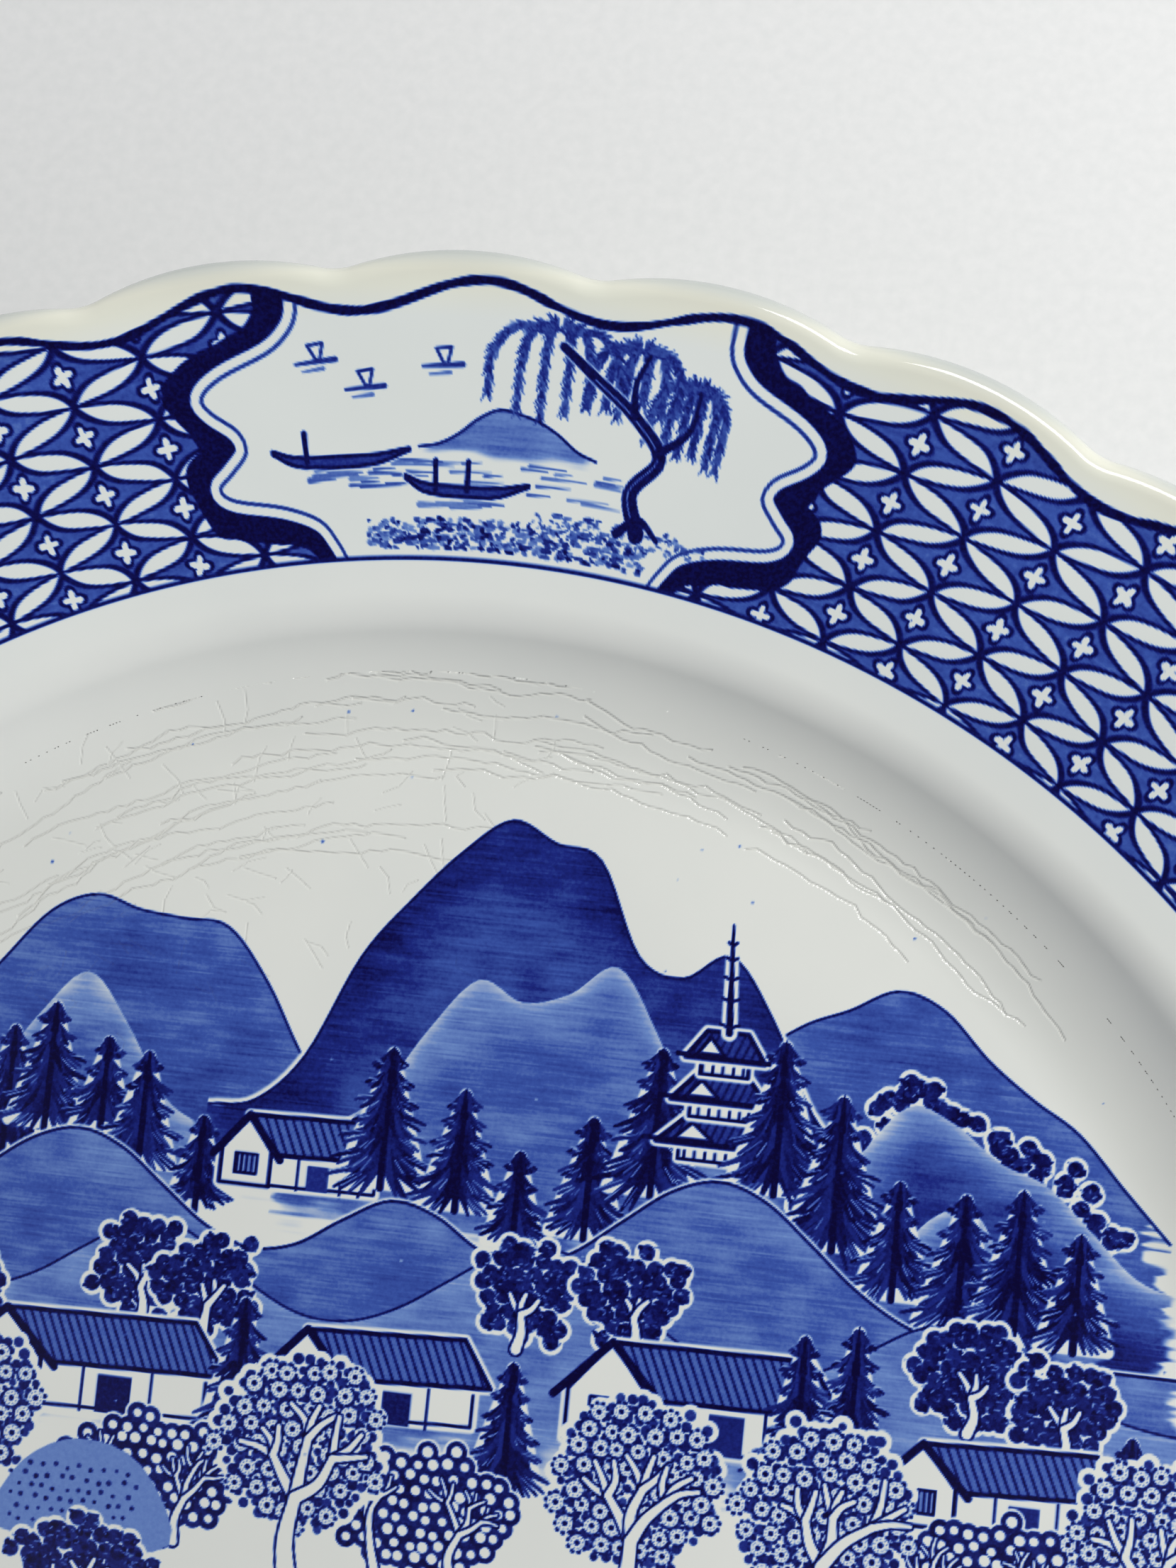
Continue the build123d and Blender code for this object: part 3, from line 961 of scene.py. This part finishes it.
def underside():
    """The lower side, from the tip of the lip down to where the foot is wiped bare."""
    columns = 1441
    angle = np.linspace(0, 2 * math.pi, columns)
    edge = edge_radius(angle)[None, :]
    lift = -WALL - GLAZE
    centre = edge - LIP_RADIUS
    turns = np.linspace(0, RIM_SLOPE - math.pi / 2, 9)[:, None]
    upper_z = offset_height(centre, GLAZE) - LIP_RADIUS / math.cos(RIM_SLOPE)
    lower_z = offset_height(centre, lift) + LIP_RADIUS / math.cos(RIM_SLOPE)
    lip_z = upper_z + (lower_z - upper_z) * np.linspace(0, 1, 9)[:, None] ** 0.5
    lip = (centre + LIP_RADIUS * np.cos(turns), lip_z + LIP_RADIUS * np.sin(turns))
    slope_start = CREST_RADIUS - LIP_RADIUS * (1 - math.sin(RIM_SLOPE))
    inner = np.linspace(slope_start, FOOT_ROOT, 48)[1:, None]
    slope = follow_edge(inner, edge)
    base = offset_height(np.array(0.0), lift)
    flank = np.linspace(0, 1, 6)[1:, None]
    foot_line = FOOT_ROOT - (FOOT_ROOT - FOOT_FLANK) * smooth(flank * 0.9 + 0.1)
    foot_radius = np.broadcast_to(foot_line, (len(flank), columns))
    foot_height = np.broadcast_to(base + (GLAZE_LOWEST - base) * flank, (len(flank), columns))
    radius = np.vstack([lip[0], slope, foot_radius])
    height = np.vstack([lip[1], offset_height(slope, lift), foot_height])
    points = np.stack([radius * np.sin(angle), radius * np.cos(angle), height], -1)
    return grid_object("underside", points, ink=np.zeros(radius.shape, np.float32))


# ---------------------------------------------------------------- materials


def nodes_for(name):
    """A new material's node tree, its Principled shader and a maker of linked nodes."""
    material = bpy.data.materials.new(name)
    material.use_nodes = True
    tree = material.node_tree
    shader = tree.nodes["Principled BSDF"]

    def node(kind, inputs=None, **settings):
        made = tree.nodes.new(kind)
        for key, value in settings.items():
            setattr(made, key, value)
        for key, value in (inputs or {}).items():
            if isinstance(value, bpy.types.NodeSocket):
                tree.links.new(value, made.inputs[key])
            else:
                made.inputs[key].default_value = value
        return made

    return material, tree, shader, node


def ramp(node, factor, stops):
    """A colour ramp's output for factor. stops are (place, colour)."""
    made = node("ShaderNodeValToRGB", {"Fac": factor})
    elements = made.color_ramp.elements
    while len(elements) < len(stops):
        elements.new(0.5)
    for element, (place, colour) in zip(elements, stops):
        element.position = place
        element.color = (*colour, 1)
    return made.outputs["Color"]


def maths(node, operation, first, second, **settings):
    """The output of a maths node."""
    return node("ShaderNodeMath", {0: first, 1: second}, operation=operation, **settings).outputs[0]


def tinted(node, factor, colour, by):
    """A colour multiplied by another, as far as factor says."""
    inputs = {"Factor": factor, "A": colour, "B": by}
    mix = node("ShaderNodeMix", inputs, data_type="RGBA", blend_type="MULTIPLY")
    return mix.outputs["Result"]


def noise_pattern(node, place, scale, detail):
    """The output of a noise texture."""
    inputs = {"Vector": place, "Scale": scale, "Detail": detail}
    return node("ShaderNodeTexNoise", inputs).outputs["Fac"]


def printed_glaze():
    """Glossy glaze over pale earthenware and cobalt ink, with painted shade on the lip's outer edge."""
    material, tree, shader, node = nodes_for("printed_glaze")
    place = node("ShaderNodeNewGeometry").outputs["Position"]
    flat = node("ShaderNodeVectorMath", {0: place, 1: (1, 1, 0)}, operation="MULTIPLY")
    away = node("ShaderNodeVectorMath", {0: flat.outputs[0]}, operation="LENGTH").outputs["Value"]
    share = maths(node, "MULTIPLY", away, 1 / (CREST_RADIUS * MM))
    # Glaze colour by distance from the axis; the last two stops grey the lip's turned-down outer side as
    # painted shade
    bare = ramp(node, share, [
        (0.0, (0.72, 0.73, 0.69)),
        (0.66, (0.72, 0.73, 0.69)),
        (0.74, (0.79, 0.80, 0.76)),
        (0.80, (0.75, 0.78, 0.75)),
        (0.95, (0.75, 0.78, 0.75)),
        (0.97, (0.77, 0.775, 0.67)),
        (0.982, (0.74, 0.735, 0.63)),
        (0.99, (0.56, 0.58, 0.54)),
        (1.0, (0.40, 0.43, 0.42)),
    ])
    cloud = noise_pattern(node, place, 45.0, 3.0)
    grain = noise_pattern(node, place, 2600.0, 2.0)
    ink = node("ShaderNodeAttribute", attribute_name="ink").outputs["Fac"]
    shift = maths(node, "SUBTRACT", grain, 0.5)
    print_grain = maths(node, "MULTIPLY", shift, 0.28)
    held = maths(node, "MULTIPLY", print_grain, ink)
    inked = maths(node, "ADD", ink, held, use_clamp=True)
    cobalt = ramp(node, inked, [
        (0.0, (1.0, 1.0, 1.0)),
        (0.12, (0.66, 0.76, 0.97)),
        (0.35, (0.21, 0.35, 0.82)),
        (0.55, (0.060, 0.125, 0.56)),
        (0.75, (0.015, 0.028, 0.30)),
        (0.9, (0.005, 0.006, 0.12)),
        (1.0, (0.003, 0.001, 0.045)),
    ])
    tint = tinted(node, 1.0, bare, cobalt)
    mottle = ramp(node, cloud, [(0.3, (0.95, 0.955, 0.96)), (0.7, (1, 1, 1))])
    mottled = tinted(node, 1.0, tint, mottle)
    craze = node("ShaderNodeAttribute", attribute_name="craze").outputs["Fac"]
    cracked = maths(node, "MULTIPLY", craze, 0.5)
    stained = tinted(node, cracked, mottled, (0.8, 0.78, 0.75, 1))
    tree.links.new(stained, shader.inputs["Base Color"])
    gloss = ramp(node, cloud, [(0.25, (0.05, 0.05, 0.05)), (0.75, (0.11, 0.11, 0.11))])
    tree.links.new(gloss, shader.inputs["Roughness"])
    ripple = noise_pattern(node, place, 160.0, 2.0)
    wavy = node("ShaderNodeBump", {"Height": ripple, "Strength": 0.25, "Distance": 0.00005})
    relief = {"Height": craze, "Strength": 1.0, "Distance": 0.00012, "Normal": wavy.outputs["Normal"]}
    cracks = node("ShaderNodeBump", relief, invert=True)
    tree.links.new(cracks.outputs["Normal"], shader.inputs["Normal"])
    shader.inputs["IOR"].default_value = 1.52
    return material


def biscuit():
    """Bare fired earthenware, matt and slightly gritty."""
    material, tree, shader, node = nodes_for("biscuit")
    place = node("ShaderNodeNewGeometry").outputs["Position"]
    grit = noise_pattern(node, place, 900.0, 5.0)
    colour = ramp(node, grit, [(0.3, (0.60, 0.55, 0.45)), (0.7, (0.74, 0.70, 0.61))])
    tree.links.new(colour, shader.inputs["Base Color"])
    rough = ramp(node, grit, [(0.2, (0.65, 0.65, 0.65)), (0.8, (0.9, 0.9, 0.9))])
    tree.links.new(rough, shader.inputs["Roughness"])
    bump = node("ShaderNodeBump", {"Height": grit, "Strength": 0.5, "Distance": 0.0001})
    tree.links.new(bump.outputs["Normal"], shader.inputs["Normal"])
    return material


def table_top():
    """A pale, faintly mottled table."""
    material, tree, shader, node = nodes_for("table_top")
    place = node("ShaderNodeNewGeometry").outputs["Position"]
    fine = noise_pattern(node, place, 700.0, 4.0)
    colour = ramp(node, fine, [(0.3, (0.70, 0.705, 0.70)), (0.7, (0.74, 0.74, 0.735))])
    tree.links.new(colour, shader.inputs["Base Color"])
    shader.inputs["Roughness"].default_value = 0.7
    return material


# ---------------------------------------------------------------- the object


def dress(made, material):
    """Gives an object its one material."""
    made.data.materials.clear()
    made.data.materials.append(material)


glazed = printed_glaze()
fired = biscuit()

for strip in border_strips():
    dress(strip, glazed)
    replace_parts(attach(strip, "root"), "border_print")

centre = well()
dress(centre, glazed)
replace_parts(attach(centre, "root"), "centre_print")

lower = underside()
dress(lower, glazed)
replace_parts(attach(lower, "root"), "glaze")

dress(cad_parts["biscuit_body"], fired)
dress(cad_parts["base_glaze"], glazed)


# ---------------------------------------------------------------- table, light and camera


def table():
    """A plain pale table top under the foot."""
    bpy.ops.mesh.primitive_plane_add(size=60, location=(0, 0, 0))
    plane = bpy.context.active_object
    plane.name = "table_top"
    dress(plane, table_top())


def lamp(name, place, target, size, power, colour):
    """A soft rectangular lamp that faces its target."""
    data = bpy.data.lights.new(name, "AREA")
    data.shape = "RECTANGLE"
    data.size, data.size_y = size
    data.energy = power
    data.color = colour
    made = bpy.data.objects.new(name, data)
    made.location = place
    made.rotation_euler = (Vector(target) - Vector(place)).to_track_quat("-Z", "Y").to_euler()
    bpy.context.collection.objects.link(made)


def room_light():
    """Pale light from all round and little from straight above, where the camera is held."""
    world = bpy.data.worlds.new("room")
    bpy.context.scene.world = world
    world.use_nodes = True
    tree = world.node_tree
    way = tree.nodes.new("ShaderNodeTexCoord")
    split = tree.nodes.new("ShaderNodeSeparateXYZ")
    steps = tree.nodes.new("ShaderNodeValToRGB")
    tree.links.new(way.outputs["Generated"], split.inputs[0])
    tree.links.new(split.outputs["Z"], steps.inputs["Fac"])
    tree.links.new(steps.outputs["Color"], tree.nodes["Background"].inputs["Color"])
    low, high = steps.color_ramp.elements
    low.position, low.color = 0.45, (0.95, 0.97, 1.0, 1)
    high.position, high.color = 0.9, (0.07, 0.075, 0.09, 1)
    tree.nodes["Background"].inputs["Strength"].default_value = 0.67


table()
room_light()
lamp("window", (0.33, 0.33, 0.54), (0.06, 0.10, 0.0), (0.55, 0.15), 3.1, (1.0, 0.99, 0.965))
lamp("side_window", (0.95, 0.35, 0.75), (0.0, 0.0, 0.0), (0.7, 0.5), 5.0, (0.97, 0.99, 1.0))

# The camera looks almost straight down from about 11 cm above the rim
camera_data = bpy.data.cameras.new("camera")
camera_data.sensor_fit = "HORIZONTAL"
camera_data.sensor_width = 24.0
camera_data.lens = 24.0
camera_data.clip_start = 0.01
camera = bpy.data.objects.new("camera", camera_data)
bpy.context.collection.objects.link(camera)
bpy.context.scene.camera = camera
CAMERA_PLACE = Vector((0.0180, 0.0769, 0.1348))
across_axis = Vector((0.9940, 0.0998, -0.0453)).normalized()
back_axis = Vector((0.0494, -0.0393, 0.9980)).normalized()
up_axis = back_axis.cross(across_axis).normalized()
across_axis = up_axis.cross(back_axis)
turn = Matrix((across_axis, up_axis, back_axis)).transposed().to_4x4()
camera.matrix_world = Matrix.Translation(CAMERA_PLACE) @ turn

bpy.context.scene.view_settings.view_transform = "Standard"
